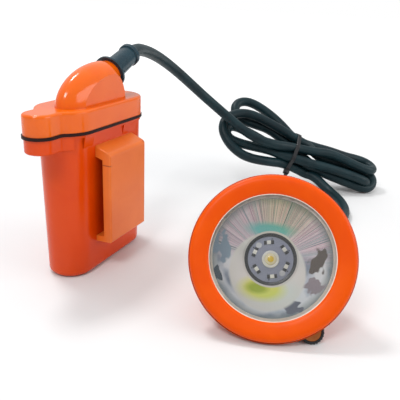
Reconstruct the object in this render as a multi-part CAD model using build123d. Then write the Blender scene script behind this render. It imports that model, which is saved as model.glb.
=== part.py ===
from build123d import *
import os
from math import atan2, cos, pi, radians, sin, sqrt, tan

# Miner's cap lamp: a battery case worn on the belt, a headpiece that hooks on the helmet, and the
# rubber cable between them, its spare length folded into a tied hank. Millimetres, +Z up. The origin
# is the middle of the battery case's foot, +X runs along the broad side towards the cable boot, and
# the belt loop is on the -Y side.

# ---------------------------------------------------------------- driving dimensions
CASE_L = 74.0          # broad side of the case, under its lid
CASE_T = 28.0          # thickness of the case
CASE_TOP = 81.0        # top of the case, where the gasket lies
CASE_DRAFT = 0.9       # degrees that each wall leans in towards the foot
WALL = 2.2
FOOT_R = 3.2           # rounding of the foot
FLANGE = 1.5           # how far the rim stands proud of the case
FLANGE_H = 1.3
FAR_TRIM = 1.4         # how much less the rim stands proud at the far end
GASKET_H = 1.6
LID_TOP = 93.3
LUG_X = -43.0          # axis of the lock screw's lug
LUG_R = 8.0
LUG_LOW = 73.4         # underside of the lug on the case
BLEND = 3.5            # hollow rounding between lug and case
SCREW_R = 2.0

DOME_AT = (4.8, -2.6, 91.3)        # middle of the two half ellipsoids that the dome is cut from
DOME_NEAR, DOME_FAR = 36.2, 15.6   # their half lengths
DOME_HALF_W, DOME_H = 13.0, 22.5
DOME_SIDES = (-11.5, 7.6)          # its flat sides
DOME_WALL = 2.4

BOOT_UP = 21.3         # degrees that the battery's cable boot points up
BOOT_AT = (13.7, -2.3, 106.5)
BOOT_LEN = 24.3        # length of the boot on the battery
LAMP_BOOT_LEN = 28.5
CABLE_D = 7.5

LOOP_X, LOOP_W = 0.8, 36.0
LOOP_OUT = 9.0         # outer face of the belt loop, from the case
LOOP_PLATE = 4.8
LOOP_LOW, LOOP_HIGH = 18.3, 69.5

CELL_R, CELL_LEN, CELL_PITCH, CELL_LOW = 9.2, 65.0, 18.8, 6.8
BOARD_Z = 77.0         # underside of the protection board

LAMP_AT = (-24.2, -117.2, 37.15)   # middle of the bezel's front
LAMP_TILT = 29.3                   # degrees that the beam points up
LAMP_HEADING = 197.6               # degrees from +X, counted towards +Y
LAMP_R = 40.05                     # rim of the headpiece
BEZEL_R = 39.3
LENS_OPENING_R = 30.0
BOWL_DEPTH = 40.0

case_half = CASE_L / 2
case_half_t = CASE_T / 2
lid_low = CASE_TOP + GASKET_H
catch_x = case_half + 0.9              # inner face of the rear catch
CATCH_SCREW_Z = 88.6
STRIKER_LOW = CASE_TOP - 4.0           # underside of the block that the rear catch hooks under


def prism(face, low, high):
    """The face, drawn on XY, as a prism from one height to another."""
    return extrude(Pos(0, 0, low) * face, amount=high - low, dir=(0, 0, 1))


def ring(outer, inner, front, back):
    """A ring about the lamp's axis, between two depths behind the bezel's front."""
    return disc(outer, front, back) - disc(inner, front, back)


def disc(radius, front, back):
    return prism(Circle(radius), -back, -front)


def turned(points):
    """A solid turned about the lamp's axis from (radius, depth) corners."""
    outline = Polyline(*[(r, 0, -depth) for r, depth in points], close=True)
    return revolve(make_face(outline), Axis.Z)


def blank(length, width):
    return SlotOverall(length, width)


def lugged(half_len, half_wid, lug_r):
    """Slot-shaped outline with the lock screw's lug blended onto its -X end."""
    end_x = half_wid - half_len
    lift = lug_r + BLEND
    reach = sqrt((half_wid + BLEND) ** 2 - lift ** 2)
    share = half_wid / (half_wid + BLEND)
    blend_x = end_x - reach
    on_end = (end_x - share * reach, share * lift)
    end_turn = atan2(on_end[1], end_x - on_end[0]) / 2 + pi / 4
    end_mid = (end_x - half_wid * cos(end_turn), half_wid * sin(end_turn))
    down = atan2(-lift, reach)
    blend_turn = (down - pi / 2) / 2
    blend_mid = (blend_x + BLEND * cos(blend_turn), lift + BLEND * sin(blend_turn))

    def below(point):
        return (point[0], -point[1])

    far_x = -end_x - FAR_TRIM
    edges = [
        Line((end_x, half_wid), (far_x, half_wid)),
        ThreePointArc((far_x, half_wid), (far_x + half_wid, 0), (far_x, -half_wid)),
        Line((far_x, -half_wid), (end_x, -half_wid)),
        ThreePointArc((end_x, -half_wid), below(end_mid), below(on_end)),
        ThreePointArc(below(on_end), below(blend_mid), (blend_x, -lug_r)),
        Line((blend_x, -lug_r), (LUG_X, -lug_r)),
        ThreePointArc((LUG_X, -lug_r), (LUG_X - lug_r, 0), (LUG_X, lug_r)),
        Line((LUG_X, lug_r), (blend_x, lug_r)),
        ThreePointArc((blend_x, lug_r), blend_mid, on_end),
        ThreePointArc(on_end, end_mid, (end_x, half_wid)),
    ]
    return Face(Wire(edges))


def edges_at(shape, z, span=0.01):
    return shape.edges().filter_by_position(Axis.Z, z - span, z + span)


# ---------------------------------------------------------------- battery case
def case_block(inset, floor):
    """The drafted block of the case, made smaller all round by inset."""
    rim = Plane(origin=(0, 0, CASE_TOP), x_dir=(1, 0, 0), z_dir=(0, 0, -1))
    face = rim * blank(CASE_L - 2 * inset, CASE_T - 2 * inset)
    block = extrude(face, amount=CASE_TOP - floor, taper=CASE_DRAFT)
    return fillet(edges_at(block, floor), max(FOOT_R - inset, 1.5))


def battery_case():
    rim = lugged(case_half + FLANGE, case_half_t + FLANGE, LUG_R)
    flange = prism(rim, CASE_TOP - FLANGE_H, CASE_TOP)
    lug = prism(rim, LUG_LOW, CASE_TOP)
    lug &= Pos(LUG_X, 0, 75) * Box(2 * (LUG_R + 2.6), 4 * LUG_R, 40)
    lug = fillet(edges_at(lug, LUG_LOW), 1.0)
    striker = Pos(case_half - 0.2, 0, STRIKER_LOW + 1.3) * Box(2.0, 11.0, 2.6)
    body = case_block(0, 0) + flange + lug + striker
    # short ramps that stiffen the rim at both ends of the belt side
    slope = Polyline((0, CASE_TOP - 7.4), (0, CASE_TOP - 0.6), (-FLANGE, CASE_TOP - 0.6), close=True)
    for start, length in ((-27.0, 8.0), (9.0, 14.0)):
        wedge = extrude(Plane.YZ * make_face(slope), amount=length)
        body += Pos(start, -case_half_t + 0.15, 0) * wedge
    body -= case_block(WALL, 2.5)
    body -= Pos(LUG_X, 0, CASE_TOP - 6) * Cylinder(SCREW_R + 0.25, 12.1)
    return body - Pos(LUG_X, 0, LUG_LOW + 1.6) * Cylinder(4.4, 3.3)


def belt_loop():
    """The bridge on the belt side. The belt passes behind its plate, along X."""
    face_y = -case_half_t
    out_y = face_y - LOOP_OUT
    slot_y = out_y + LOOP_PLATE
    outer = [(face_y + 2, LOOP_HIGH + 4.4), (out_y, LOOP_HIGH), (out_y, LOOP_LOW), (face_y + 2, LOOP_LOW - 0.6)]
    hollow = [(face_y + 3, LOOP_HIGH - 1.6), (slot_y, LOOP_HIGH - 3.8), (slot_y, LOOP_LOW + 3.0)]
    hollow.append((face_y + 3, LOOP_LOW + 2.6))
    across = Plane(origin=(LOOP_X, 0, 0), x_dir=(0, 1, 0), z_dir=(1, 0, 0))
    bridge = extrude(across * make_face(Polyline(*outer, close=True)), amount=LOOP_W / 2, both=True)
    plate_edges = bridge.faces().sort_by(Axis.Y)[0].edges().sort_by(Axis.Z)
    bridge = fillet(plate_edges[-1], 2.6)
    plate_edges = bridge.faces().sort_by(Axis.Y)[0].edges().sort_by(Axis.Z)
    bridge = fillet(plate_edges[:-1], 0.9)
    bridge -= extrude(across * make_face(Polyline(*hollow, close=True)), amount=LOOP_W, both=True)
    return bridge - case_block(0, 0)


def boot_plane():
    """Face of the dome that the boot stands on, its z axis along the cable."""
    up = radians(BOOT_UP)
    return Plane(origin=BOOT_AT, x_dir=(0, 1, 0), z_dir=(cos(up), 0, sin(up)))


def dome_block(inset):
    """The dome made smaller all round by inset, from inside the lid to its roof."""
    halves = []
    for length, side in ((DOME_NEAR, -1), (DOME_FAR, 1)):
        half_ball = Sphere(1) & Pos(side, 0, 0) * Box(2, 4, 4)
        halves.append(scale(half_ball, by=(length - inset, DOME_HALF_W - inset, DOME_H - inset)))
    low_y, high_y = DOME_SIDES
    width = high_y - low_y - 2 * inset
    block = Pos(*DOME_AT) * (halves[0] + halves[1])
    block &= Pos(0, (low_y + high_y) / 2, LID_TOP + 46) * Box(200, width, 100)
    return block - extrude(boot_plane().offset(-inset) * Rectangle(60, 60), amount=40)


def case_lid():
    lid = prism(lugged(case_half + FLANGE + 0.3, case_half_t + FLANGE + 0.3, LUG_R + 0.3), lid_low, LID_TOP)
    lid = fillet(edges_at(lid, LID_TOP), 1.6)
    collar = boot_plane() * Pos(0, 0, -4) * Cylinder(7.4, 8.0)
    lid = lid + dome_block(0) + collar
    lid -= prism(blank(CASE_L - 2 * WALL, CASE_T - 2 * WALL), lid_low - 1, LID_TOP - 2.6)
    lid -= dome_block(DOME_WALL)
    lid -= boot_plane() * Pos(0, 0, -DOME_WALL - 8) * Cylinder(6.3, 16)
    lid -= boot_plane() * Pos(0, 0, -12) * Cylinder(7.5, 13.6)
    lid -= boot_plane() * Cylinder(5.2, 12)
    lid -= Pos(LUG_X, 0, lid_low) * Cylinder(SCREW_R, 16)
    lid -= Pos(catch_x - 1.5, 0, CATCH_SCREW_Z) * Rot(0, 90, 0) * Cylinder(1.25, 3.0)
    return lid


def case_gasket():
    outline = lugged(case_half + FLANGE + 0.7, case_half_t + FLANGE + 0.7, LUG_R + 0.9)
    gasket = prism(outline - blank(CASE_L - 2 * WALL, CASE_T - 2 * WALL), CASE_TOP, lid_low)
    return gasket - Pos(LUG_X, 0, CASE_TOP) * Cylinder(SCREW_R, 8)


def lock_screw():
    head = Pos(LUG_X, 0, LUG_LOW + 1.7) * Cylinder(3.9, 3.0)
    head -= Pos(LUG_X, 0, LUG_LOW + 0.8) * extrude(RegularPolygon(2.2, 3), amount=1.4, both=True)
    shank = Pos(LUG_X, 0, (LUG_LOW + 3.2 + 90) / 2) * Cylinder(SCREW_R, 90 - LUG_LOW - 3.2)
    return head + shank


def rear_catch():
    """Dark steel strap that holds the lid's far end down on the case."""
    strap = Pos(catch_x + 0.5, 0, 83.5) * Box(1.0, 14.4, 14.6)
    foot = Pos(catch_x + 0.1, 0, STRIKER_LOW - 0.7) * Box(1.4, 10.0, 1.2)
    curl = Pos(catch_x + 1.3, 0, 83.4) * Rot(90, 0, 0) * Cylinder(1.3, 14.4)
    return strap + foot + curl - Pos(catch_x, 0, CATCH_SCREW_Z) * Rot(0, 90, 0) * Cylinder(1.25, 6)


def catch_screw():
    shank = Pos(catch_x - 1.0, 0, CATCH_SCREW_Z) * Rot(0, 90, 0) * Cylinder(1.25, 4.0)
    head = Pos(catch_x + 1.6, 0, CATCH_SCREW_Z) * Rot(0, 90, 0) * Cylinder(2.2, 1.2)
    return shank + head


# ---------------------------------------------------------------- inside the battery
def cells():
    can = Cylinder(CELL_R, CELL_LEN)
    can = fillet(can.edges(), 0.8)
    places = [(i * CELL_PITCH, 0, CELL_LOW + CELL_LEN / 2) for i in (-1, 0, 1)]
    return Compound([Pos(*place) * can for place in places])


def cell_holder(low, pocket_low):
    plate = prism(blank(3 * CELL_PITCH + 6.5, 20.6), low, low + 4)
    for i in (-1, 0, 1):
        plate -= Pos(i * CELL_PITCH, 0, pocket_low + 1) * Cylinder(CELL_R, 2)
        plate -= Pos(i * CELL_PITCH, 0, low + 2) * Cylinder(4.0, 6)
    if low < CASE_T:
        for x in (-24.0, 24.0):
            plate += Pos(x, 0, low - 1.15) * Cylinder(2.0, 2.3)
    return plate


def cell_links(strip_z, cell_z):
    """A nickel strip with a welded tab on each cell."""
    links = Pos(0, 0, strip_z) * Box(2 * CELL_PITCH + 7, 6, 0.4)
    for i in (-1, 0, 1):
        links += Pos(i * CELL_PITCH, 0, (strip_z + cell_z) / 2) * Cylinder(2.4, abs(strip_z - cell_z))
    return links


def protection_board():
    board = Pos(0, 0, BOARD_Z + 0.6) * Box(54, 15, 1.2)
    for x in (-25.0, 25.0):
        board += Pos(x, 0, BOARD_Z - 1.6) * Cylinder(1.5, 3.2)
    return board


def board_parts():
    sizes = [(-19, 2, 5, 4, 1.4), (-19, -4, 4, 3, 1.2), (9, 3.5, 6, 5, 1.6), (14, -3.5, 4, 3, 1.0), (20, 2, 3, 6, 2.2)]
    chips = [Pos(x, y, BOARD_Z + 1.2 + h / 2) * Box(l, w, h) for x, y, l, w, h in sizes]
    return Compound(chips)


# ---------------------------------------------------------------- cable boots and what they hold
def cable_boot(length):
    """Rubber strain relief, standing on z = 0, the cable leaving along +z."""
    profile = [(CABLE_D / 2, -4.4), (6.2, -4.4), (6.2, -DOME_WALL), (5.2, -DOME_WALL), (5.2, 0), (9.4, 0)]
    profile += [(9.4, 1.3), (8.9, 1.8), (7.2, 2.1), (6.3, 3.2), (5.75, length - 3.4), (6.5, length - 3.0)]
    profile += [(6.5, length - 0.6), (6.1, length), (CABLE_D / 2, length)]
    outline = Polyline(*[(r, 0, z) for r, z in profile], close=True)
    return revolve(make_face(outline), Axis.Z)


def cable_tail(length):
    """The cable's end inside a boot, up to the boot's mouth."""
    return Pos(0, 0, (length - 13) / 2) * Cylinder(CABLE_D / 2, length + 13)


CLAMP_H = 9.0
CLAMP_SCREW_X = 4.7


def cable_clamp():
    """Split block that grips the cable inside the housing."""
    block = Pos(0, 0, -7.6) * Box(11.6, CLAMP_H, 4.6)
    block -= Cylinder(CABLE_D / 2, 60)
    for x in (-CLAMP_SCREW_X, CLAMP_SCREW_X):
        block -= Pos(x, 0, -7.6) * Rot(90, 0, 0) * Cylinder(0.8, 20)
    return block


def clamp_screws():
    pair = []
    for x in (-CLAMP_SCREW_X, CLAMP_SCREW_X):
        shank = Pos(x, 0, -7.6) * Rot(90, 0, 0) * Cylinder(0.8, CLAMP_H)
        head = Pos(x, -CLAMP_H / 2 - 0.7, -7.6) * Rot(90, 0, 0) * Cylinder(1.4, 1.4)
        pair.append(shank + head)
    return Compound(pair)


def wire(points, bend, radius=0.75):
    path = FilletPolyline(*points, radius=bend)
    start = Plane(origin=path @ 0, z_dir=path % 0)
    return sweep(start * Circle(radius), path)


def battery_leads():
    tail_end = boot_plane().from_local_coords(Vector(0, 0, -13))
    pair = []
    for side in (-1, 1):
        points = [(tail_end.X - 0.5, tail_end.Y + 1.6 * side, tail_end.Z - 0.2), (0.5, -2.3 + 2.2 * side, 97.0)]
        points += [(-3, 3.4 * side, 88), (-3, 3.4 * side, BOARD_Z + 1.2)]
        pair.append(wire(points, 3.5))
    return Compound(pair)


# ---------------------------------------------------------------- headpiece, in its own frame
# z runs forward along the beam, y up and x to the viewer's right; depths count back from the front.
def bezel():
    front = [(LENS_OPENING_R, 1.7), (30.6, 1.1), (32.6, 0.55), (36.0, 0.1), (37.9, 0.3), (38.9, 1.0), (BEZEL_R, 2.0)]
    crown = Spline(*[(r, 0, -depth) for r, depth in front])
    rest = [(BEZEL_R, 3.2), (36.2, 3.2), (36.2, 5.5), (34.2, 5.5), (34.2, 2.2), (LENS_OPENING_R, 2.2)]
    back = Polyline(*[(r, 0, -depth) for r, depth in [front[-1]] + rest + [front[0]]])
    return revolve(make_face([crown, back]), Axis.Z)


def lens():
    pane = disc(33.9, 2.2, 4.2)
    return chamfer(pane.edges(), 0.3)


def lens_gasket():
    return turned([(28.5, 4.2), (33.9, 4.2), (33.9, 5.1), (28.9, 5.1), (28.5, 4.8)])


def bezel_seal():
    return ring(39.6, 36.6, 3.2, 4.2)


def reflector_curve(radius):
    """Depth of the mirror's parabola at a radius."""
    return REFLECTOR_VERTEX - radius ** 2 / REFLECTOR_P


REFLECTOR_MOUTH_R, REFLECTOR_MOUTH = 28.6, 5.9
REFLECTOR_NECK_R, REFLECTOR_NECK = 13.4, 25.2
REFLECTOR_P = (REFLECTOR_MOUTH_R ** 2 - REFLECTOR_NECK_R ** 2) / (REFLECTOR_NECK - REFLECTOR_MOUTH)
REFLECTOR_VERTEX = REFLECTOR_NECK + REFLECTOR_NECK_R ** 2 / REFLECTOR_P


def reflector():
    steps = 14
    inner = []
    for i in range(steps + 1):
        radius = REFLECTOR_NECK_R + (REFLECTOR_MOUTH_R - REFLECTOR_NECK_R) * i / steps
        inner.append((radius, reflector_curve(radius)))
    mirror = Spline(*[(r, 0, -depth) for r, depth in inner])
    rim = [(REFLECTOR_MOUTH_R, 5.1), (33.9, 5.1), (33.9, 5.6), (29.4, 5.6), (28.9, 7.0), (22.6, 17.0), (15.2, 25.2)]
    back = Polyline(*[(r, 0, -depth) for r, depth in [inner[-1]] + rim + [inner[0]]])
    return revolve(make_face([mirror, back]), Axis.Z)


def screw_places():
    """Where the two screws of the emitters' board stand."""
    return [Rot(0, 0, turn) * Pos(9.2, 0, 0) for turn in (135, 315)]


def led_board():
    board = disc(12.5, 26.0, 27.6)
    for place in screw_places():
        board -= place * disc(0.95, 25.8, 27.8)
    return board


def board_screws():
    screw = disc(0.9, 26.0, 30.4) + disc(1.5, 25.4, 26.0)
    return Compound([place * screw for place in screw_places()])


def board_ring():
    """Black insulating ring that centres the board behind the mirror."""
    return turned([(12.5, 27.6), (12.5, 25.4), (15.6, 25.4), (15.6, 28.0), (14.6, 28.0), (14.6, 27.6)])


def main_led():
    base = disc(4.5, 25.1, 26.0)
    base = fillet(edges_at(base, -25.1), 0.4)
    bulb = Pos(0, 0, -25.1) * Sphere(2.5)
    bulb &= Pos(0, 0, -25.1 + 2) * Box(8, 8, 4)
    return base + bulb


def small_leds():
    """Six small emitters round the main one."""
    chips = []
    for i in range(6):
        turn = 60 * i + 40
        chips.append(Rot(0, 0, turn) * Pos(8.7, 0, -25.65) * Box(1.6, 3.0, 0.7))
    return Compound(chips)


def heat_sink():
    sink = disc(12.3, 27.6, 29.6)
    for place in screw_places():
        sink -= place * disc(0.9, 27.0, 30.2)
    return sink


def driver_board():
    return Pos(0, -7.6, -33.0) * Box(19, 7.4, 1.2)


KNOB_TURN = -57.0      # where the knob stands round the rim, degrees from x
KNOB_OUT = 38.7        # its axis from the beam's axis
KNOB_R = 5.95
KNOB_FRONT, KNOB_BACK = 6.9, 9.2
KNOB_CAP_R = 4.5
KNOB_POCKET_R = 6.4
SHAFT_R = 1.6
SHAFT_END = 12.5
HOOK_SCREW_Y = -4.6


def knob_place():
    turn = radians(KNOB_TURN)
    return Pos(KNOB_OUT * cos(turn), KNOB_OUT * sin(turn), 0)


def bowl_profile(inset):
    """Corners of the bowl, (radius, depth), made thinner all round by inset."""
    corners = [(34.9, 11.0), (33.6, 15.0), (30.9, 20.0), (27.2, 25.4), (22.8, 31.0), (18.6, 36.0), (14.8, 39.4)]
    return [(r - inset, depth - 0.4 * inset) for r, depth in corners]


def lamp_housing():
    rim = [(0, 4.2), (LAMP_R, 4.2), (LAMP_R, 4.5), (39.2, 5.9), (38.5, 6.6), (34.9, 6.6)]
    outer = turned(rim + bowl_profile(0) + [(13.0, BOWL_DEPTH), (0, BOWL_DEPTH)])
    outer += boot_seat() * Pos(0, 0, -9) * Cylinder(10.9, 18)
    knob_back = Plane(knob_place().position - Vector(0, 0, KNOB_BACK + 0.3))
    turn = radians(KNOB_TURN)
    inward = Vector(-cos(turn), -sin(turn), 0)
    nose_tip = Plane(knob_back.origin + inward * 9.0 - Vector(0, 0, 13.0))
    outer += loft([knob_back * Circle(4.6), nose_tip * Circle(3.0)])
    outer -= knob_place() * disc(KNOB_POCKET_R, 6.6, KNOB_BACK + 0.3)
    cavity = turned([(0, 4.0), (36.2, 4.0), (36.2, 5.6), (32.7, 5.6)] + bowl_profile(2.2) + [(0, 37.6)])
    cavity -= knob_place() * disc(KNOB_POCKET_R + 1.0, 5.8, KNOB_BACK + 1.3)
    cavity += boot_seat() * Pos(0, 0, -DOME_WALL - 8) * Cylinder(8.4, 16)
    outer -= cavity
    outer -= boot_seat() * Cylinder(5.2, 12)
    outer -= contact_place() * Cylinder(4.4, 20)
    for x in (-6.0, 6.0):
        outer -= Pos(x, HOOK_SCREW_Y, -BOWL_DEPTH + 2) * Cylinder(1.5, 7)
    return outer - knob_place() * disc(SHAFT_R + 0.05, 8.0, SHAFT_END + 0.2)


def boot_seat():
    """Where the lamp's boot stands: the cable leaves it level, straight back."""
    back = radians(LAMP_TILT)
    return Plane(origin=(0, 13.0, -43.0), x_dir=(1, 0, 0), z_dir=(0, sin(back), -cos(back)))


def switch_knob():
    """A dished ring with a web across its back, its outer face tapering to the rear."""
    web = KNOB_FRONT + 1.2
    profile = [(SHAFT_R, web), (KNOB_CAP_R, web), (KNOB_CAP_R, KNOB_FRONT + 0.3), (KNOB_CAP_R + 0.2, KNOB_FRONT)]
    profile += [(KNOB_R - 0.4, KNOB_FRONT), (KNOB_R, KNOB_FRONT + 0.4), (KNOB_R, KNOB_FRONT + 0.45)]
    profile += [(KNOB_R - 1.05, KNOB_BACK), (SHAFT_R, KNOB_BACK)]
    return knob_place() * turned(profile) - knob_magnet()


def knob_magnet():
    """Magnet in the knob's web. It works the reed switch through the sealed wall."""
    return knob_place() * Rot(0, 0, KNOB_TURN + 180) * Pos(3.2, 0, 0) * disc(1.0, KNOB_FRONT + 1.2, KNOB_BACK)


def knob_cap():
    cap = knob_place() * disc(KNOB_CAP_R, KNOB_FRONT + 0.4, KNOB_FRONT + 1.2)
    slot = knob_place() * Rot(0, 0, KNOB_TURN) * Pos(0, 0, -KNOB_FRONT - 0.5) * Box(7.4, 1.1, 0.5)
    return cap - slot


def switch_shaft():
    return knob_place() * disc(SHAFT_R, KNOB_FRONT + 1.2, SHAFT_END)


def lamp_leads():
    pair = []
    for side in (-1, 1):
        start = boot_seat().from_local_coords(Vector(1.6 * side, -1.2, -13.6))
        points = [tuple(start), (3.4 * side, 2.5, -31.4), (6.5 * side, -3.0, -31.6)]
        pair.append(wire(points, 1.2, 0.6))
    return Compound(pair)


def reed_switch():
    """Glass reed switch just inside the wall behind the knob."""
    return Rot(0, 0, KNOB_TURN) * Pos(28.2, 0, -14.8) * Rot(90, 0, 0) * Cylinder(1.2, 11)


def charge_contact():
    """Brass stud on the bowl's flank, where the charging rack touches it."""
    return contact_place() * (Cylinder(3.0, 9.0) + Pos(0, 0, 5.25) * Cylinder(4.0, 1.5))


def contact_place():
    return Plane(origin=(-27.8, 8.0, -22.5), z_dir=(-0.78, 0.22, -0.585))


def charge_bush():
    """Black insulating bush round the charging stud."""
    bush = Cylinder(4.4, 7.4) + Pos(0, 0, 3.9) * Cylinder(6.0, 1.2)
    return contact_place() * (bush - Cylinder(3.0, 30))


def helmet_hook():
    """Steel plate on the back of the bowl. Its tongue drops into the helmet's bracket."""
    side = Plane(origin=(0, 0, 0), x_dir=(0, 1, 0), z_dir=(1, 0, 0))
    back = -BOWL_DEPTH
    line = [(-1.7, back), (-9.6, back), (-11.8, back - 2.6), (-17.2, back - 2.6), (-17.2, back - 3.8)]
    line += [(-11.2, back - 3.8), (-9.0, back - 1.2), (-1.7, back - 1.2)]
    plate = extrude(side * make_face(Polyline(*line, close=True)), amount=9.0, both=True)
    for x in (-6.0, 6.0):
        plate -= Pos(x, HOOK_SCREW_Y, back) * Cylinder(1.5, 6)
    return plate


def hook_screws():
    pair = []
    for x in (-6.0, 6.0):
        screw = disc(1.5, BOWL_DEPTH - 3.6, BOWL_DEPTH + 1.2) + disc(2.7, BOWL_DEPTH + 1.2, BOWL_DEPTH + 2.4)
        pair.append(Pos(x, HOOK_SCREW_Y, 0) * screw)
    return Compound(pair)


def lamp_plane():
    """The headpiece's frame, placed on the table."""
    tilt, heading = radians(LAMP_TILT), radians(LAMP_HEADING)
    beam = (cos(tilt) * cos(heading), cos(tilt) * sin(heading), sin(tilt))
    right = (-sin(heading), cos(heading), 0)
    return Plane(origin=LAMP_AT, x_dir=right, z_dir=beam)


def headpiece():
    seat = boot_seat()
    return {
        "bezel": bezel(),
        "lens": lens(),
        "lens_gasket": lens_gasket(),
        "bezel_seal": bezel_seal(),
        "reflector": reflector(),
        "led_board": led_board(),
        "board_ring": board_ring(),
        "board_screws": board_screws(),
        "main_led": main_led(),
        "small_leds": small_leds(),
        "heat_sink": heat_sink(),
        "driver_board": driver_board(),
        "lamp_housing": lamp_housing(),
        "lamp_boot": seat * cable_boot(LAMP_BOOT_LEN),
        "lamp_cable_tail": seat * cable_tail(LAMP_BOOT_LEN),
        "lamp_clamp": seat * cable_clamp(),
        "lamp_clamp_screws": seat * clamp_screws(),
        "lamp_leads": lamp_leads(),
        "reed_switch": reed_switch(),
        "knob_magnet": knob_magnet(),
        "switch_knob": switch_knob(),
        "knob_cap": knob_cap(),
        "switch_shaft": switch_shaft(),
        "charge_contact": charge_contact(),
        "charge_bush": charge_bush(),
        "helmet_hook": helmet_hook(),
        "hook_screws": hook_screws(),
    }


# ---------------------------------------------------------------- cable and its hank
HANK_AT = Vector(178.3, -70.2, 32.8)     # middle of the tie
HANK_HEADING, HANK_DIP, HANK_LEAN = -65.6, 20.7, 43.0


def hank_axes():
    """Along the hank, up its fanned side, and out of its front."""
    heading, dip, lean = radians(HANK_HEADING), radians(HANK_DIP), radians(HANK_LEAN)
    along = Vector(cos(dip) * cos(heading), cos(dip) * sin(heading), -sin(dip))
    side = Vector(-sin(heading), cos(heading), 0)
    up = Vector(sin(dip) * cos(heading), sin(dip) * sin(heading), cos(dip))
    fan = up * cos(lean) + side * sin(lean)
    return along, fan, along.cross(fan)


def in_hank(s, w, m):
    along, fan, front = hank_axes()
    return HANK_AT + along * s + fan * w + front * m


def hank_block(outline, back, front):
    along, fan, normal = hank_axes()
    plane = Plane(origin=HANK_AT, x_dir=along, z_dir=normal)
    return extrude(plane.offset(back) * outline, amount=front - back)


def cable_tie():
    band = hank_block(Pos(0, 0.7) * RectangleRounded(4.6, 36.0, 1.0), -9.3, 9.8)
    band -= hank_block(Pos(0, 0.7) * Rectangle(6, 33.4), -8.0, 8.5)
    head = hank_block(Pos(-0.6, -19.6) * RectangleRounded(6.4, 6.0, 1.0), 1.0, 6.0)
    tail = hank_block(Pos(-1.6, -24.6) * Rectangle(4.2, 5.4), 2.8, 4.0)
    return band + head + tail


def cable_hank():
    """Closed outer shape of the tied hank: three folds fanned out on one side, three on the other."""
    rim = [(-66, 0), (-62, 16), (-58, 30), (-47, 37), (-33, 35), (-16, 29), (0, 17.4), (20, 17.5), (45, 20.5)]
    rim += [(65, 24), (75, 19), (78.5, 8), (77, -1), (68, -10), (48, -12), (25, -12.5), (2, -16), (-18, -21.5)]
    rim += [(-33, -26), (-47, -25), (-60, -17)]
    outline = make_face(Spline(*rim, periodic=True))
    hank = hank_block(outline, -12.5, 12.5)
    waist = hank_block(Pos(0, 0.7) * Rectangle(4.6, 80), -30, 30)
    hank = hank - waist + hank_block(Pos(0, 0.7) * Rectangle(4.6, 33.4), -8.0, 8.5)
    floor = Pos(HANK_AT.X, HANK_AT.Y, -49.9) * Box(300, 300, 100)
    return hank - floor - cable_tie()


def tube(name, route):
    """A cable of straight runs joined by arcs as large as the runs allow."""
    radii = []
    for before, at, after in zip(route, route[1:], route[2:]):
        turn = (at - before).get_angle(after - at)
        shorter = min((at - before).length, (after - at).length)
        radii.append(0.45 * shorter / tan(radians(turn) / 2))
    path = FilletPolyline(*route, radius=radii)
    cable = sweep(Plane(origin=path @ 0, z_dir=path % 0) * Circle(CABLE_D / 2), path)
    runs = [round((b - a).length, 1) for a, b in zip(route, route[1:])]
    print(name, "length", round(path.length, 1), "runs", runs, "radii", [round(r, 1) for r in radii])
    print(name, "volume over section times length", round(cable.volume / (path.length * pi * CABLE_D ** 2 / 4), 4))
    return cable


def cable_rise():
    """From the battery's boot over to the hank."""
    mouth = boot_plane().from_local_coords(Vector(0, 0, BOOT_LEN))
    route = [mouth, Vector(44.0, -0.8, 117.0), Vector(57.0, 2.0, 115.8), Vector(75.0, 5.0, 112.0)]
    route += [Vector(93.0, 6.5, 106.0), Vector(110.0, 5.5, 97.8), Vector(126.0, 2.0, 87.5), Vector(140.0, -3.5, 76.5)]
    route += [in_hank(-63, -0.5, 9.5), in_hank(-48, -6.2, 9.6)]
    return tube("rise", route)


def cable_drop():
    """From the hank down to the table and round to the back of the headpiece."""
    seat = Plane(lamp_plane() * boot_seat())
    mouth = seat.from_local_coords(Vector(0, 0, LAMP_BOOT_LEN))
    aim = seat.from_local_coords(Vector(0, 0, LAMP_BOOT_LEN + 12.5))
    low = CABLE_D / 2
    route = [in_hank(9.5, -11.4, -5.6), in_hank(17, -11, -8.0), Vector(180.2, -89.7, 13.7)]
    route += [Vector(176.5, -103.0, low + 1.5), Vector(164.5, -113.8, low), Vector(148.6, -121.6, low)]
    route += [Vector(131.0, -125.4, low), Vector(113.5, -123.0, low), Vector(98.0, -114.0, low + 1)]
    route += [Vector(84.0, -103.0, low + 8), Vector(70.5, -92.5, 22.5), aim, mouth]
    return tube("drop", route)


def save(name, shape):
    export_step(shape, f"parts/{name}.step")


def main():
    os.makedirs("parts", exist_ok=True)
    save("battery_case", battery_case())
    save("belt_loop", belt_loop())
    save("case_lid", case_lid())
    save("case_gasket", case_gasket())
    save("lock_screw", lock_screw())
    save("rear_catch", rear_catch())
    save("catch_screw", catch_screw())
    save("cells", cells())
    save("cell_holder_lower", cell_holder(4.8, CELL_LOW))
    save("cell_holder_upper", cell_holder(CELL_LOW + CELL_LEN - 2, CELL_LOW + CELL_LEN - 2))
    save("cell_links", cell_links(CELL_LOW + CELL_LEN + 2.2, CELL_LOW + CELL_LEN))
    save("protection_board", protection_board())
    save("board_parts", board_parts())
    boot_at = boot_plane()
    boot, tail = boot_at * cable_boot(BOOT_LEN), boot_at * cable_tail(BOOT_LEN)
    save("battery_boot", boot)
    save("battery_cable_tail", tail)
    save("battery_clamp", boot_at * cable_clamp())
    save("battery_clamp_screws", boot_at * clamp_screws())
    save("battery_leads", battery_leads())
    lamp = lamp_plane()
    for name, shape in headpiece().items():
        save(name, lamp * shape)
    hank, tie = cable_hank(), cable_tie()
    save("cable_rise", cable_rise() - hank - tail - boot)
    save("cable_hank", hank)
    save("cable_tie", tie)
    save("cable_drop", cable_drop() - hank - tie)


main()
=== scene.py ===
import math

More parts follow.
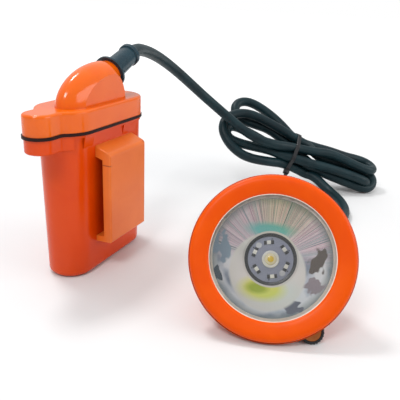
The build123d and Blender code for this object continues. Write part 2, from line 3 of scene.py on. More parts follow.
import bmesh
import bpy
from mathutils import Matrix, Vector, noise


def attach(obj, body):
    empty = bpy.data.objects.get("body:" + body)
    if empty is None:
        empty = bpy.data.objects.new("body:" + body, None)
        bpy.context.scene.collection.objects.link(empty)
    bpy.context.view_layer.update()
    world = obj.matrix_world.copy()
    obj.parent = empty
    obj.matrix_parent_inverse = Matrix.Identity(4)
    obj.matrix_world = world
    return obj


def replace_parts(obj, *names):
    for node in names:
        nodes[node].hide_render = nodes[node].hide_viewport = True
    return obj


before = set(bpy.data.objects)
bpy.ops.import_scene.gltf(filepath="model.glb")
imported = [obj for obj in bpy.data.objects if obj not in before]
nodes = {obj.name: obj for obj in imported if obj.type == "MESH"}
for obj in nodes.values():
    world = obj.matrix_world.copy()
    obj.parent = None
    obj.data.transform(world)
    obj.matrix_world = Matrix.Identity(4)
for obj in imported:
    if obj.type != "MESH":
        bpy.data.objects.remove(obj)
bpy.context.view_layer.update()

MM = 0.001
CABLE_R = 3.75

# ---------------------------------------------------------------- camera
CAMERA_AT = Vector((-241.6, -176.6, 149.0))
CAMERA_HEADING, CAMERA_PITCH, CAMERA_ROLL = map(math.radians, (24.2, -20.94, 2.62))
SENSOR_MM, LENS_MM = 36, 47.95


def add_camera():
    ahead = Vector((math.cos(CAMERA_HEADING), math.sin(CAMERA_HEADING), 0)) * math.cos(CAMERA_PITCH)
    ahead.z = math.sin(CAMERA_PITCH)
    right = Vector((math.sin(CAMERA_HEADING), -math.cos(CAMERA_HEADING), 0))
    up = right.cross(ahead)
    turned_right = right * math.cos(CAMERA_ROLL) + up * math.sin(CAMERA_ROLL)
    turned_up = up * math.cos(CAMERA_ROLL) - right * math.sin(CAMERA_ROLL)
    camera = bpy.data.objects.new("camera", bpy.data.cameras.new("camera"))
    bpy.context.scene.collection.objects.link(camera)
    rotation = Matrix((turned_right, turned_up, -ahead)).transposed().to_4x4()
    camera.matrix_world = Matrix.Translation(CAMERA_AT * MM) @ rotation
    camera.data.sensor_width = SENSOR_MM
    camera.data.lens = LENS_MM
    camera.data.clip_start = 0.01
    bpy.context.scene.camera = camera


add_camera()


# ---------------------------------------------------------------- mesh helpers
def add_object(name, data, body="lamp", material=None):
    piece = bpy.data.objects.new(name, data)
    bpy.context.scene.collection.objects.link(piece)
    if material:
        data.materials.append(material)
    if body:
        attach(piece, body)
    return piece


def mesh_from(name, verts, faces, sharp=35):
    """A smooth-shaded mesh, its corners sharper than the angle kept hard. Millimetres in, metres out."""
    mesh = bpy.data.meshes.new(name)
    mesh.from_pydata([Vector(v) * MM for v in verts], [], faces)
    mesh.validate()
    mesh.polygons.foreach_set("use_smooth", [True] * len(mesh.polygons))
    mesh.set_sharp_from_angle(angle=math.radians(sharp))
    return mesh


def joined(parts):
    """Several (verts, faces) lists as one."""
    verts, faces = [], []
    for part_verts, part_faces in parts:
        start = len(verts)
        verts += part_verts
        faces += [[start + i for i in face] for face in part_faces]
    return verts, faces


def loop_skin(rings, closed_along=False, caps=False):
    """Quads between rings of points that all have the same number of points."""
    count = len(rings[0])
    verts = [point for ring in rings for point in ring]
    faces = []
    last = len(rings) if closed_along else len(rings) - 1
    for i in range(last):
        here, there = i * count, (i + 1) % len(rings) * count
        for j in range(count):
            k = (j + 1) % count
            faces.append([here + j, here + k, there + k, there + j])
    if caps:
        faces.append(list(range(count))[::-1])
        faces.append([(len(rings) - 1) * count + j for j in range(count)])
    return verts, faces


# ---------------------------------------------------------------- the hank's and the lamp's own frames
HANK_AT = Vector((178.3, -70.2, 32.8))
HANK_HEADING, HANK_DIP, HANK_LEAN = map(math.radians, (-65.6, 20.7, 43.0))
hank_side = Vector((-math.sin(HANK_HEADING), math.cos(HANK_HEADING), 0))
hank_along = Vector((math.cos(HANK_HEADING), math.sin(HANK_HEADING), 0)) * math.cos(HANK_DIP)
hank_along.z = -math.sin(HANK_DIP)
hank_up = Vector((math.cos(HANK_HEADING), math.sin(HANK_HEADING), 0)) * math.sin(HANK_DIP)
hank_up.z = math.cos(HANK_DIP)
hank_fan = hank_up * math.cos(HANK_LEAN) + hank_side * math.sin(HANK_LEAN)
hank_front = hank_along.cross(hank_fan)

LAMP_AT = Vector((-24.2, -117.2, 37.15))
LAMP_TILT, LAMP_HEADING = math.radians(29.3), math.radians(197.6)
beam = Vector((math.cos(LAMP_HEADING), math.sin(LAMP_HEADING), 0)) * math.cos(LAMP_TILT)
beam.z = math.sin(LAMP_TILT)
lamp_right = Vector((-math.sin(LAMP_HEADING), math.cos(LAMP_HEADING), 0))
lamp_up = beam.cross(lamp_right)


def in_hank(s, w, m):
    """Along the hank, up its fanned side, and out of its front."""
    return HANK_AT + hank_along * s + hank_fan * w + hank_front * m


def in_lamp(x, y, z):
    """Right, up and forward from the middle of the bezel's front."""
    return LAMP_AT + lamp_right * x + lamp_up * y + beam * z


def on_lamp(radius, turn, depth):
    return in_lamp(radius * math.cos(turn), radius * math.sin(turn), -depth)


# ---------------------------------------------------------------- the cable, one spline from boot to boot
MOUTH = (36.34, -2.3, 115.33)
rise = [
    MOUTH, (44, -0.8, 117), (57, 2, 115.8), (75, 5, 112), (93, 6.5, 106), (110, 5.5, 97.8),
    (126, 2, 87.5), (140, -3.5, 76.5),
]
hank = [
    # from the battery, across the front
    (-63, -0.5, 9.5), (-48, -6.2, 9.6), (-33, -9.0, 9.4), (-18, -6.6, 8.6), (-7, -2.2, 6.6),
    (3, 1.4, 4.8),
    # right, upper fold
    (16, 3.8, 5.4), (30, 8.6, 5.4), (45, 7.8, 5.8), (57, 6.6, 6.6), (65.8, 7.5, 6.4),
    (70.4, 11.2, 3.5), (70.4, 16.3, -0.5), (65.8, 20, -3.4), (57, 19.6, -3.6), (46, 17.4, -3.6),
    (32, 16.4, -3.6), (18, 14, -3.6),
    # left, tall fold at the back
    (0, 12.6, -3.8), (-16, 25, -7), (-33, 31.6, -8), (-46, 33.2, -8.4), (-54, 29.6, -8.6),
    (-57, 22.6, -8.4), (-53.6, 15.6, -8), (-45.5, 12.8, -7.2), (-35, 13, -6.2), (-24, 13.4, -5.2),
    (-10, 8.6, -4),
    # right, fold turned edge on
    (4, 3.6, -4.2), (14, 1.6, -7), (24, 0, -9.6), (40, 1, -10.4), (54, 2.6, -10.5),
    (63.7, 3, -10.3), (68.5, 1.3, -5.8), (68.5, -1.1, 0.5), (63.7, -2.8, 5), (55, -3, 5.1),
    (42, -3.6, 4.6), (28, -5, 4.2), (14, -7.2, 4),
    # left, inner fold
    (2, -8.2, 3.6), (-9, -8.6, 1.2), (-20, -8.2, 0), (-31, -10.2, -0.4), (-43, -12.2, -1.2),
    (-53.2, -12.4, -1.4), (-57.6, -8, -2.2), (-57.6, -2, -3.4), (-53.2, 2.4, -4.2),
    (-43, 2.6, -4.4), (-27, 0.2, -3.6), (-12, -2.4, -3.8),
    # right, lower fold
    (3, -3.6, -3.8), (16, -5.4, -3.4), (30, -6.6, -2.8), (46, -6.8, -2.2), (59, -6.6, -1.6),
    (69.2, -6.0, -1.4), (74.3, -1.2, -1), (74.3, 5.6, -1.2), (69.2, 10.4, -2.2), (60, 10.6, -3),
    (48, 9.4, -3.6), (36, 7.8, -3.6), (22, 6, -3.2), (12, 9.2, 1.8),
    # left, outer fold
    (3, 9, 3.2), (-14, 12.2, 3), (-30, 15.2, 1.8), (-45, 15.8, 1.4), (-56, 10.6, 1.1),
    (-62.6, 2, 0.9), (-62, -8, 0.7), (-54, -16.6, 0.3), (-43, -21.6, 0), (-32, -21.8, -0.4),
    (-18, -17.6, -1.6), (-4, -12.4, -3.2),
    # out past the tie
    (9.5, -11.4, -5.6), (17, -11, -8.0),
]
drop = [
    (180.2, -89.7, 13.7), (176.5, -103.0, 5.25), (164.5, -113.8, 3.75), (148.6, -121.6, 3.75),
    (131.0, -125.4, 3.75), (113.5, -123.0, 3.75), (98.0, -114.0, 4.75), (84.0, -103.0, 11.75),
    (70.5, -92.5, 22.5), (56.7, -91.5, 27.4), (44.8, -95.3, 27.4),
]
route = [Vector(p) for p in rise] + [in_hank(*p) for p in hank] + [Vector(p) for p in drop]


def cable_spline(thick):
    """The cable's curve. Its thickness is each point's radius, which also sets its bounding box."""
    data = bpy.data.curves.new("cable", "CURVE")
    data.dimensions = "3D"
    data.resolution_u = 10
    data.bevel_depth = 1.0 if thick else 0
    data.bevel_resolution = 6
    data.use_fill_caps = True
    spline = data.splines.new("NURBS")
    spline.points.add(len(route) - 1)
    for point, place in zip(spline.points, route):
        point.co = (*(place * MM), 1)
        point.radius = CABLE_R * MM
    spline.order_u = 3
    spline.use_endpoint_u = True
    return data


cable = add_object("cable", cable_spline(True))
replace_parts(cable, "cable_rise", "cable_hank", "cable_drop")


def centre_line():
    """Points along the cable's own spline, in millimetres."""
    probe = bpy.data.objects.new("probe", cable_spline(False))
    bpy.context.scene.collection.objects.link(probe)
    bpy.context.view_layer.update()
    mesh = bpy.data.meshes.new_from_object(probe)
    points = [v.co / MM for v in mesh.vertices]
    bpy.data.objects.remove(probe)
    return points


cable_line = centre_line()


# ---------------------------------------------------------------- cable tie
def tie_outline(along, gap):
    """Hull of the cable's strands where the hank is cut across, as (w, m) points."""
    strands = []
    for a, b in zip(cable_line, cable_line[1:]):
        from_a, from_b = a - HANK_AT, b - HANK_AT
        sa, sb = from_a.dot(hank_along) - along, from_b.dot(hank_along) - along
        if sa * sb <= 0 and sa != sb and max(from_a.length, from_b.length) < 30:
            cut = from_a.lerp(from_b, sa / (sa - sb))
            strands.append((cut.dot(hank_fan), cut.dot(hank_front)))
    outline = []
    for i in range(96):
        turn = 2 * math.pi * i / 96
        facing = (math.cos(turn), math.sin(turn))
        w, m = max(strands, key=lambda s: s[0] * facing[0] + s[1] * facing[1])
        outline.append((w + (CABLE_R + gap) * facing[0], m + (CABLE_R + gap) * facing[1]))
    return outline


def cable_tie():
    """Nylon strap round the hank, its locking head underneath and the cut tail beyond it."""
    inner, outer = tie_outline(0, 0.1), tie_outline(0, 0.95)
    half = 1.5
    rings = []
    for (wi, mi), (wo, mo) in zip(inner, outer):
        edge_w, edge_m = wo - (wo - wi) * 0.3, mo - (mo - mi) * 0.3
        corners = [(-half, wi, mi), (-half, edge_w, edge_m), (-half + 0.3, wo, mo), (half - 0.3, wo, mo)]
        corners += [(half, edge_w, edge_m), (half, wi, mi)]
        rings.append([in_hank(*c) for c in corners])
    parts = [loop_skin(rings, closed_along=True)]
    base_w, base_m = min(outer)
    head_low, head_high = (-2.3, base_w - 3.2, base_m - 1.9), (2.3, base_w + 0.6, base_m + 1.9)
    tail_low, tail_high = (-1.4, base_w - 8.0, base_m - 0.3), (1.4, base_w - 2.8, base_m + 0.6)
    parts.append(soft_box(head_low, head_high, 0.6, in_hank))
    parts.append(soft_box(tail_low, tail_high, 0.25, in_hank))
    return joined(parts)


def soft_box(low, high, edge, place, steps=3):
    """A box with rounded edges and corners, its points sent through place."""
    bm = bmesh.new()
    bmesh.ops.create_cube(bm, size=1)
    size = [h - l for l, h in zip(low, high)]
    middle = [(h + l) / 2 for l, h in zip(low, high)]
    for v in bm.verts:
        v.co = Vector([c * s + m for c, s, m in zip(v.co, size, middle)])
    bmesh.ops.bevel(bm, geom=bm.edges[:], offset=edge, segments=steps, profile=0.5, affect="EDGES")
    bm.verts.index_update()
    verts = [place(*v.co) for v in bm.verts]
    faces = [[v.index for v in face.verts] for face in bm.faces]
    bm.free()
    return verts, faces


tie = add_object("tie_strap", mesh_from("tie_strap", *cable_tie()))
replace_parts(tie, "cable_tie")


# ---------------------------------------------------------------- materials
class Recipe:
    """A node material under construction: shader is its Principled BSDF."""

    def __init__(self, name):
        self.material = bpy.data.materials.new(name)
        self.material.use_nodes = True
        self.tree = self.material.node_tree
        self.shader = self.tree.nodes["Principled BSDF"]
        self.place = self.tree.nodes.new("ShaderNodeTexCoord").outputs["Object"]

    def set(self, **values):
        for key, value in values.items():
            self.shader.inputs[key.replace("_", " ")].default_value = value
        return self

    def noise(self, scale, detail=3, roughness=0.5, stretch=(1, 1, 1), distortion=0):
        mapping = self.tree.nodes.new("ShaderNodeMapping")
        mapping.inputs["Scale"].default_value = stretch
        self.tree.links.new(self.place, mapping.inputs["Vector"])
        node = self.tree.nodes.new("ShaderNodeTexNoise")
        node.inputs["Scale"].default_value = scale
        node.inputs["Detail"].default_value = detail
        node.inputs["Roughness"].default_value = roughness
        node.inputs["Distortion"].default_value = distortion
        self.tree.links.new(mapping.outputs["Vector"], node.inputs["Vector"])
        return node.outputs["Fac"]

    def ramp(self, value, stops):
        node = self.tree.nodes.new("ShaderNodeValToRGB")
        elements = node.color_ramp.elements
        while len(elements) < len(stops):
            elements.new(0.5)
        for element, (place, colour) in zip(elements, stops):
            element.position = place
            element.color = (*colour, 1) if len(colour) == 3 else colour
        self.tree.links.new(value, node.inputs["Fac"])
        return node.outputs["Color"]

    def span(self, value, low, high, start=0.0, end=1.0):
        node = self.tree.nodes.new("ShaderNodeMapRange")
        for key, number in (("From Min", start), ("From Max", end), ("To Min", low), ("To Max", high)):
            node.inputs[key].default_value = number
        self.tree.links.new(value, node.inputs["Value"])
        return node.outputs["Result"]

    def maths(self, operation, a, b=None):
        node = self.tree.nodes.new("ShaderNodeMath")
        node.operation = operation
        for socket, value in zip(node.inputs, (a, b)):
            if isinstance(value, (int, float)):
                socket.default_value = value
            elif value is not None:
                self.tree.links.new(value, socket)
        return node.outputs["Value"]

    def mix(self, share, under, over):
        """Two colours mixed, each a socket or an (r, g, b)."""
        node = self.tree.nodes.new("ShaderNodeMix")
        node.data_type = "RGBA"
        self.tree.links.new(share, node.inputs["Factor"])
        for socket, value in zip((node.inputs[6], node.inputs[7]), (under, over)):
            if isinstance(value, tuple):
                socket.default_value = (*value, 1)
            else:
                self.tree.links.new(value, socket)
        return node.outputs[2]

    def along(self, origin, direction):
        """Distance in millimetres from a point of the object, along a direction."""
        shift = self.tree.nodes.new("ShaderNodeVectorMath")
        shift.operation = "SUBTRACT"
        self.tree.links.new(self.place, shift.inputs[0])
        shift.inputs[1].default_value = origin * MM
        dot = self.tree.nodes.new("ShaderNodeVectorMath")
        dot.operation = "DOT_PRODUCT"
        self.tree.links.new(shift.outputs["Vector"], dot.inputs[0])
        dot.inputs[1].default_value = direction
        return self.maths("MULTIPLY", dot.outputs["Value"], 1 / MM)

    def blob(self, x, y, middle, size, edge=0.3):
        """1 inside an ellipse of the plane of x and y, 0 outside it."""
        a = self.maths("DIVIDE", self.maths("SUBTRACT", x, middle[0]), size[0])
        b = self.maths("DIVIDE", self.maths("SUBTRACT", y, middle[1]), size[1])
        squares = self.maths("ADD", self.maths("MULTIPLY", a, a), self.maths("MULTIPLY", b, b))
        return self.span(self.maths("SQRT", squares), 1, 0, 1 - edge, 1 + edge)

    def link(self, value, socket):
        self.tree.links.new(value, self.shader.inputs[socket])
        return self

    def bump(self, height, distance, strength=1.0):
        node = self.tree.nodes.new("ShaderNodeBump")
        node.inputs["Distance"].default_value = distance
        node.inputs["Strength"].default_value = strength
        self.tree.links.new(height, node.inputs["Height"])
        self.tree.links.new(node.outputs["Normal"], self.shader.inputs["Normal"])
        return self


def moulded(name, deep, pale, roughness=0.22, grain=0.00003, gloss=0.5, coat=0.0):
    """Glossy moulded plastic: a slow drift of colour, faint flow marks and a fine surface ripple."""
    r = Recipe(name)
    drift = r.noise(38, 4, 0.55, distortion=0.6)
    r.link(r.ramp(drift, [(0.3, deep), (0.72, pale)]), "Base Color")
    r.link(r.span(r.noise(240, 3), roughness - 0.05, roughness + 0.09), "Roughness")
    r.bump(r.noise(420, 2), grain)
    return r.set(IOR=1.5, Specular_IOR_Level=gloss, Coat_Weight=coat, Coat_Roughness=0.08).material


def worn(name, deep, pale, scuff):
    """Moulded plastic with a few short dull scratches."""
    r = Recipe(name)
    colour = r.ramp(r.noise(38, 4, 0.55, distortion=0.6), [(0.3, deep), (0.72, pale)])
    lines = r.noise(26, 2, 0.5, stretch=(1, 1, 22), distortion=0.5)
    patches = r.noise(32, 2)
    marks = r.maths("MULTIPLY", r.span(lines, 0, 1, 0.66, 0.69), r.span(patches, 0, 1, 0.5, 0.56))
    r.link(r.mix(marks, colour, scuff), "Base Color")
    r.link(r.span(marks, 0.3, 0.5), "Roughness")
    r.bump(r.noise(420, 2), 0.00003)
    return r.set(IOR=1.5, Specular_IOR_Level=0.4).material


def rubber(name, deep, pale, roughness=0.42, grain=0.00006, gloss=0.5):
    """Dark rubber: cloudy bloom on the skin and a fine matt tooth."""
    r = Recipe(name)
    r.link(r.ramp(r.noise(60, 5, 0.6), [(0.32, deep), (0.75, pale)]), "Base Color")
    r.link(r.span(r.noise(500, 2), roughness - 0.08, roughness + 0.12), "Roughness")
    r.bump(r.noise(1500, 3), grain)
    return r.set(IOR=1.5, Specular_IOR_Level=gloss).material


def metal(name, colour, roughness=0.28, scratch=(1, 1, 14), grain=0.00002):
    """Worked metal: scratches along one direction and a little tarnish."""
    r = Recipe(name)
    dull = tuple(c * 0.72 for c in colour)
    r.link(r.ramp(r.noise(120, 5, 0.6), [(0.3, dull), (0.65, colour)]), "Base Color")
    lines = r.noise(400, 4, 0.6, stretch=scratch)
    r.link(r.span(lines, roughness - 0.1, roughness + 0.15), "Roughness")
    r.bump(lines, grain)
    return r.set(Metallic=1.0).material


def srgb(r, g, b):
    """A colour given as it looks on a screen, 0 to 255."""
    return tuple((c / 255 / 12.92) if c < 10.3 else ((c / 255 + 0.055) / 1.055) ** 2.4 for c in (r, g, b))


case_plastic = moulded("case_plastic", srgb(209, 63, 0), srgb(215, 71, 1), 0.2, gloss=0.28)
# Painted sheen: the loop's orange is paler and yellower than the case's, standing in for the white room
# seen at a slant. The darker scratches are wear.
loop_plastic_painted_sheen = worn("loop_plastic_painted_sheen", srgb(220, 104, 30), srgb(230, 118, 42), srgb(160, 66, 30))
lid_plastic = moulded("lid_plastic", srgb(221, 89, 0), srgb(229, 101, 0), 0.14, gloss=0.35, coat=0.12)
lamp_plastic = moulded("lamp_plastic", srgb(221, 74, 0), srgb(229, 85, 0), 0.3, gloss=0.14)
cable_skin = rubber("cable_skin", srgb(6, 28, 34), srgb(16, 46, 52), 0.42, gloss=0.26)
boot_skin = rubber("boot_skin", srgb(8, 40, 52), srgb(20, 58, 70), 0.26, gloss=0.36)
seal_skin = rubber("seal_skin", srgb(26, 6, 4), srgb(44, 14, 8), 0.5, gloss=0.2)
pale_seal = rubber("pale_seal", srgb(216, 202, 186), srgb(236, 226, 214), 0.45)
nylon = moulded("nylon", srgb(10, 12, 14), srgb(20, 22, 26), 0.34)
steel = metal("steel", (0.6, 0.6, 0.61))
black_steel = metal("black_steel", (0.05, 0.05, 0.055), 0.36)
brass = metal("brass", srgb(196, 120, 70), 0.36, scratch=(1, 1, 1))
nickel = metal("nickel", (0.66, 0.63, 0.56))
alloy = metal("alloy", (0.7, 0.71, 0.73), 0.3)
lilac_board = moulded("lilac_board", srgb(126, 130, 148), srgb(146, 150, 168), 0.3)
ceramic = moulded("ceramic", srgb(212, 208, 196), srgb(232, 230, 222), 0.35)
phosphor = moulded("phosphor", srgb(214, 176, 40), srgb(238, 208, 70), 0.2)
solder_black = moulded("solder_black", srgb(22, 24, 28), srgb(40, 42, 46), 0.3)


def for_nodes(material, *names):
    for name in names:
        node = nodes[name]
        node.data.materials.clear()
        node.data.materials.append(material)


for_nodes(case_plastic, "battery_case")
for_nodes(loop_plastic_painted_sheen, "belt_loop")
for_nodes(lid_plastic, "case_lid")
for_nodes(lamp_plastic, "bezel", "lamp_housing")
for_nodes(boot_skin, "battery_boot", "lamp_boot")
for_nodes(cable_skin, "battery_cable_tail", "lamp_cable_tail")
for_nodes(seal_skin, "case_gasket", "bezel_seal")
for_nodes(pale_seal, "lens_gasket")
for_nodes(nylon, "charge_bush", "board_ring", "battery_clamp", "lamp_clamp")
for_nodes(lilac_board, "led_board")
for_nodes(nylon, "cell_holder_lower", "cell_holder_upper")
for_nodes(black_steel, "rear_catch")
for_nodes(steel, "lock_screw", "catch_screw", "battery_clamp_screws", "lamp_clamp_screws")
for_nodes(steel, "board_screws", "hook_screws", "helmet_hook", "switch_shaft", "knob_magnet")
for_nodes(brass, "knob_cap", "charge_contact")
for_nodes(nickel, "cell_links")
for_nodes(alloy, "heat_sink")
for_nodes(rubber("lead_skin", (0.45, 0.03, 0.02), (0.6, 0.05, 0.03)), "battery_leads", "lamp_leads")
for_nodes(moulded("cell_wrap", (0.06, 0.16, 0.42), (0.09, 0.22, 0.52)), "cells")
circuit = moulded("circuit_board", (0.01, 0.12, 0.05), (0.02, 0.18, 0.08))
for_nodes(circuit, "protection_board", "driver_board")
for_nodes(moulded("chip_case", (0.02, 0.02, 0.022), (0.04, 0.04, 0.045)), "board_parts")
cable.data.materials.append(cable_skin)
tie.data.materials.append(nylon)


def lens_material():
    """Clear hard-coated plastic: see-through face on, bright at a slant, with fine scratches."""
    r = Recipe("lens_clear")
    slant = r.tree.nodes.new("ShaderNodeFresnel")
    slant.inputs["IOR"].default_value = 1.4
    r.link(r.span(slant.outputs["Fac"], 0.02, 0.9), "Alpha")
    r.link(r.span(r.noise(90, 5), 0.01, 0.05), "Roughness")
    r.link(r.ramp(r.noise(70, 3), [(0.3, (0.9, 0.94, 0.95)), (0.7, (1, 1, 1))]), "Base Color")
    return r.set(Metallic=1.0).material


for_nodes(lens_material(), "lens")
for_nodes(moulded("tube_glass", (0.75, 0.85, 0.8), (0.85, 0.92, 0.9), 0.1), "reed_switch")


def lathe(profile, count=96, caps=True):
    """A skin turned about the beam from (radius, depth) points."""
    turns = [2 * math.pi * j / count for j in range(count)]
    rings = [[on_lamp(radius, turn, depth) for turn in turns] for radius, depth in profile]
    return loop_skin(rings, caps=caps)


def turned_piece(name, profile, slot, material, **shape):
    return add_object(name, mesh_from(name, *lathe(profile, **shape)), "lamp", material)


# ---------------------------------------------------------------- emitters
def main_emitter():
    dish = [(4.4, 26.0), (4.4, 25.3), (4.2, 25.05), (3.7, 24.95), (3.3, 25.1), (3.1, 25.3), (0.02, 25.3)]
    turned_piece("emitter_dish", dish, "emitter", ceramic)
    dome = [(3.0, 25.3)]
    for i in range(1, 9):
        lift = math.radians(i * 90 / 8)
        dome.append((max(3.0 * math.cos(lift), 0.02), 25.3 - 1.5 * math.sin(lift)))
    cream = moulded("silicone", srgb(226, 214, 170), srgb(240, 230, 196), 0.12)
    turned_piece("emitter_dome", dome, "emitter", cream)
    core = [(1.6, 23.95), (1.6, 23.82), (1.3, 23.72), (0.02, 23.68)]
    return turned_piece("emitter_core", core, "emitter", phosphor)


def small_emitter(turn):
    """One emitter of the ring: a cream body between two black ends, and a small black mark beside them."""
    middle = Vector((8.7 * math.cos(turn), 8.7 * math.sin(turn)))
    ahead, aside = Vector((-math.sin(turn), math.cos(turn))), Vector((math.cos(turn), math.sin(turn)))

    def place(u, v, depth):
        at = middle + ahead * u + aside * v
        return in_lamp(at.x, at.y, -depth)

    bodies = [soft_box((-1.05, -0.95, 25.2), (1.05, 0.95, 26.0), 0.14, place)]
    ends = [soft_box((u - 0.7, -1.0, 25.3), (u + 0.7, 1.0, 26.0), 0.12, place) for u in (-1.85, 1.85)]
    ends.append(soft_box((-2.1, 1.3, 25.8), (-1.5, 1.9, 26.0), 0.06, place))
    return bodies, ends


def emitter_ring():
    bodies, ends = [], []
    for i in range(6):
        body, end = small_emitter(math.radians(60 * i + 40))
        bodies += body
        ends += end
    pale = add_object("ring_bodies", mesh_from("ring_bodies", *joined(bodies)), "lamp", ceramic)
    add_object("ring_ends", mesh_from("ring_ends", *joined(ends)), "lamp", solder_black)
    return pale


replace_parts(main_emitter(), "main_led")
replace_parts(emitter_ring(), "small_leds")
rim = [(11.7, 26.0), (11.7, 25.45), (12.0, 25.25), (13.3, 25.2), (13.3, 26.0)]
turned_piece("board_rim", rim, "black_nylon", nylon, caps=False)


# ---------------------------------------------------------------- bright bead round the lens, and the knob
BEAD_R, BEAD_DEPTH, BEAD_THICK = 29.9, 1.95, 0.28
bead_turns = [t * math.pi / 5 for t in range(11)]
bead = [(BEAD_R + BEAD_THICK * math.cos(t), BEAD_DEPTH + BEAD_THICK * math.sin(t)) for t in bead_turns]
turned_piece("lens_bead", bead, "lens_seal", pale_seal, count=180, caps=False)

KNOB_OUT, KNOB_TURN = 38.7, math.radians(-57)
KNOB_AT = (KNOB_OUT * math.cos(KNOB_TURN), KNOB_OUT * math.sin(KNOB_TURN))


def knob_ring():
    """The knob's ribbed skirt, turned about the knob's own axis."""
    outline = [
        (1.6, 8.1), (4.5, 8.1), (4.5, 7.2), (4.7, 6.9), (5.55, 6.9), (5.9, 7.3), (5.9, 7.6),
        (4.9, 9.2), (1.6, 9.2), (1.6, 8.1),
    ]
    rings = []
    for radius, depth in outline:
        ring = []
        for j in range(192):
            turn = 2 * math.pi * j / 192
            rib = 0.12 * math.cos(24 * turn) if radius > 4.8 else 0
            out = radius - 0.1 + rib
            x, y = KNOB_AT[0] + out * math.cos(turn), KNOB_AT[1] + out * math.sin(turn)
            ring.append(in_lamp(x, y, -depth))
        rings.append(ring)
    return loop_skin(rings)


grip = add_object("knob_grip", mesh_from("knob_grip", *knob_ring()), "knob", nylon)
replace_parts(grip, "switch_knob")


# ---------------------------------------------------------------- mirror
def mirror_material():
    """Part metallic coat whose base colour is a fixed pattern of painted reflections: rays above, cloudy
    patches beside, a pale bowl within.
    """
    r = Recipe("mirror_coat")
    x, y = r.along(LAMP_AT, lamp_right), r.along(LAMP_AT, lamp_up)
    flat = r.tree.nodes.new("ShaderNodeCombineXYZ")
    r.tree.links.new(x, flat.inputs["X"])
    r.tree.links.new(y, flat.inputs["Y"])
    unit = r.tree.nodes.new("ShaderNodeVectorMath")
    unit.operation = "NORMALIZE"
    r.tree.links.new(flat.outputs["Vector"], unit.inputs[0])
    sliver = r.tree.nodes.new("ShaderNodeTexNoise")
    r.tree.links.new(unit.outputs["Vector"], sliver.inputs["Vector"])
    sliver.inputs["Scale"].default_value = 36
    sliver.inputs["Detail"].default_value = 4
    sliver.inputs["Roughness"].default_value = 0.7
    # Painted reflection: pink, teal, white and dark streaks running out from the middle.
    rays = r.ramp(sliver.outputs["Fac"], [
        (0.36, srgb(40, 52, 60)), (0.41, srgb(150, 200, 204)), (0.46, srgb(255, 204, 224)),
        (0.50, srgb(255, 255, 255)), (0.54, srgb(240, 180, 206)), (0.58, srgb(60, 120, 130)),
        (0.63, srgb(255, 252, 255)),
    ])
    # Painted reflection: pale grey-blue clouds, used below the streaks.
    painted_cloud_reflection = r.ramp(r.noise(95, 2, 0.4), [
        (0.36, srgb(148, 160, 178)), (0.46, srgb(206, 214, 228)), (0.6, srgb(250, 251, 255)),
    ])
    above = r.span(y, 0, 1, -3, 7)
    radius = r.maths("SQRT", r.maths("ADD", r.maths("MULTIPLY", x, x), r.maths("MULTIPLY", y, y)))
    colour = r.mix(above, painted_cloud_reflection, rays)
    # Painted reflection: duller grey towards the mouth.
    colour = r.mix(r.span(radius, 0, 0.75, 25.5, 28.2), colour, srgb(138, 148, 148))
    wavy_x = r.maths("ADD", x, r.span(r.noise(110, 1), -7, 7))
    wavy_y = r.maths("ADD", y, r.span(r.noise(150, 2, 0.6, stretch=(1, 0.6, 1)), -7, 7))
    # Painted reflections: dark and tinted patches at the sides and below, their edges wavy.
    for middle, size, patch_reflection_tint in (
        ((-23.5, 3), (5, 6.5), (150, 172, 192)), ((-25, -9.5), (2.2, 4.2), (74, 92, 108)),
        ((22.5, 1.0), (3.2, 6), (108, 96, 90)), ((20.5, -12), (5, 2.6), (168, 156, 164)),
        ((13.5, -22.5), (4.4, 2.0), (120, 124, 140)),
    ):
        colour = r.mix(r.blob(wavy_x, wavy_y, middle, size, 0.12), colour, srgb(*patch_reflection_tint))
    # Painted reflection: a near-white bowl round the emitters.
    colour = r.mix(r.blob(x, y, (-1.2, -6.3), (19, 19.4), 0.03), colour, srgb(250, 247, 240))
    # Painted reflection: a teal patch above the middle.
    colour = r.mix(r.blob(x, y, (-1.4, 14.6), (11, 3.4), 0.35), colour, srgb(120, 206, 206))
    # Painted reflection: a yellow patch below, with a yellow-green one inside it.
    colour = r.mix(r.blob(x, y, (-3.2, -15), (10.5, 5.6), 0.3), colour, srgb(252, 250, 118))
    colour = r.mix(r.blob(x, y, (-5.6, -15), (5.4, 2.6), 0.35), colour, srgb(190, 202, 50))
    # Painted reflection: a pale ring round the neck.
    colour = r.mix(r.span(radius, 1, 0, 14.2, 14.5), colour, srgb(232, 228, 220))
    r.link(colour, "Base Color")
    r.link(r.span(r.noise(160, 3), 0.08, 0.2), "Roughness")
    return r.set(Metallic=0.3).material


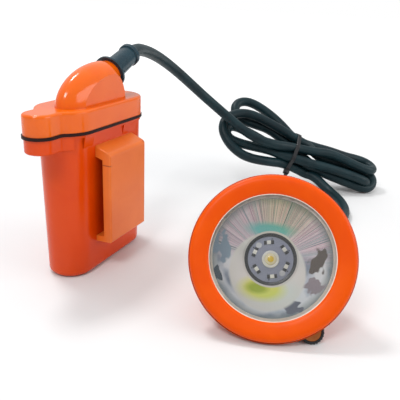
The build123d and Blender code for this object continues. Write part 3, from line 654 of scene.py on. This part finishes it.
def mirror_mesh():
    """The reflector: a paraboloid, smooth within, with a band of fine rays further out."""
    mouth_r, mouth, neck_r, neck = 28.6, 5.9, 13.4, 25.2
    squeeze = (mouth_r ** 2 - neck_r ** 2) / (neck - mouth)
    vertex = neck + neck_r ** 2 / squeeze
    rays, rings = 720, []
    for i in range(49):
        share = i / 48
        radius = neck_r + (mouth_r - neck_r) * share
        depth = vertex - radius ** 2 / squeeze
        ring = []
        for j in range(rays):
            turn = 2 * math.pi * j / rays
            wave = noise.noise(Vector((math.cos(turn) * 26, math.sin(turn) * 26, 0.4)))
            wave += 0.6 * noise.noise(Vector((math.cos(turn) * 60, math.sin(turn) * 60, share * 2)))
            strength = 0.05 * min(1, max(0, (share - 0.28) / 0.2)) * min(1, (1.0 - share) / 0.12)
            ring.append(on_lamp(radius, turn, depth - wave * strength))
        rings.append(ring)
    flange = [(28.6, 5.1), (33.7, 5.1), (33.7, 5.6), (29.4, 5.6)]
    back = [(28.9, 7.0), (22.6, 17.0), (15.2, 25.2)]
    for radius, depth in flange + back:
        rings.append([on_lamp(radius, 2 * math.pi * j / rays, depth) for j in range(rays)])
    return loop_skin(rings, closed_along=True)


mirror = add_object("mirror_bowl", mesh_from("mirror_bowl", *mirror_mesh(), sharp=50))
mirror.data.materials.append(mirror_material())
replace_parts(mirror, "reflector")


# ---------------------------------------------------------------- floor and light
def studio():
    floor = bpy.data.meshes.new("floor")
    floor.from_pydata([(-6, -6, 0), (6, -6, 0), (6, 6, 0), (-6, 6, 0)], [], [(0, 1, 2, 3)])
    ground = bpy.data.objects.new("floor", floor)
    bpy.context.scene.collection.objects.link(ground)
    ground.location.z = -0.0002
    r = Recipe("floor_paper")
    r.link(r.ramp(r.noise(3, 2), [(0.3, (0.70, 0.71, 0.72)), (0.7, (0.72, 0.72, 0.72))]), "Base Color")
    spread = r.tree.nodes.new("ShaderNodeVectorMath")
    spread.operation = "LENGTH"
    r.tree.links.new(r.place, spread.inputs[0])
    r.link(r.span(spread.outputs["Value"], 0.0, 0.55, 0.22, 1.0), "Emission Strength")
    floor.materials.append(r.set(Roughness=0.7, Emission_Color=(1, 1, 1, 1)).material)
    backdrop()


def backdrop():
    """White where the camera looks; for all other rays a room, brighter overhead and behind the object."""
    world = bpy.data.worlds.new("studio")
    bpy.context.scene.world = world
    world.use_nodes = True
    tree = world.node_tree
    background = tree.nodes["Background"]
    coords = tree.nodes.new("ShaderNodeTexCoord")
    split = tree.nodes.new("ShaderNodeSeparateXYZ")
    tree.links.new(coords.outputs["Generated"], split.inputs["Vector"])
    rise_of_light = tree.nodes.new("ShaderNodeMapRange")
    for key, number in (("From Min", -0.1), ("From Max", 0.9), ("To Min", 0.3), ("To Max", 0.8)):
        rise_of_light.inputs[key].default_value = number
    tree.links.new(split.outputs["Z"], rise_of_light.inputs["Value"])
    behind = tree.nodes.new("ShaderNodeVectorMath")
    behind.operation = "DOT_PRODUCT"
    behind.inputs[1].default_value = (0.85, 0.52, 0)
    tree.links.new(coords.outputs["Generated"], behind.inputs[0])
    sided = tree.nodes.new("ShaderNodeMapRange")
    for key, number in (("From Min", -0.4), ("From Max", 0.9), ("To Min", 0.95), ("To Max", 1.5)):
        sided.inputs[key].default_value = number
    tree.links.new(behind.outputs["Value"], sided.inputs["Value"])
    product = tree.nodes.new("ShaderNodeMath")
    product.operation = "MULTIPLY"
    tree.links.new(rise_of_light.outputs["Result"], product.inputs[0])
    tree.links.new(sided.outputs["Result"], product.inputs[1])
    path = tree.nodes.new("ShaderNodeLightPath")
    pick = tree.nodes.new("ShaderNodeMix")
    tree.links.new(path.outputs["Is Camera Ray"], pick.inputs["Factor"])
    tree.links.new(product.outputs["Value"], pick.inputs[2])
    pick.inputs[3].default_value = 1.0
    tree.links.new(pick.outputs[0], background.inputs["Strength"])
    background.inputs["Color"].default_value = (1, 1, 1, 1)


def softbox(name, at, aim, size, watts):
    light = bpy.data.lights.new(name, "AREA")
    light.shape = "RECTANGLE"
    light.size, light.size_y = size
    light.energy = watts
    lamp = bpy.data.objects.new(name, light)
    bpy.context.scene.collection.objects.link(lamp)
    lamp.location = Vector(at)
    lamp.rotation_euler = (Vector(aim) - Vector(at)).to_track_quat("-Z", "Y").to_euler()


studio()
softbox("overhead", (0.14, 0.34, 0.9), (0.04, -0.03, 0), (0.2, 0.14), 3.5)
softbox("left", (-0.62, -0.05, 0.85), (0.02, -0.04, 0.05), (0.3, 0.2), 3.4)
softbox("front", (0.25, -1.1, 0.55), (0.03, -0.05, 0.04), (0.9, 0.5), 4.7)
bpy.context.scene.view_settings.view_transform = "Standard"
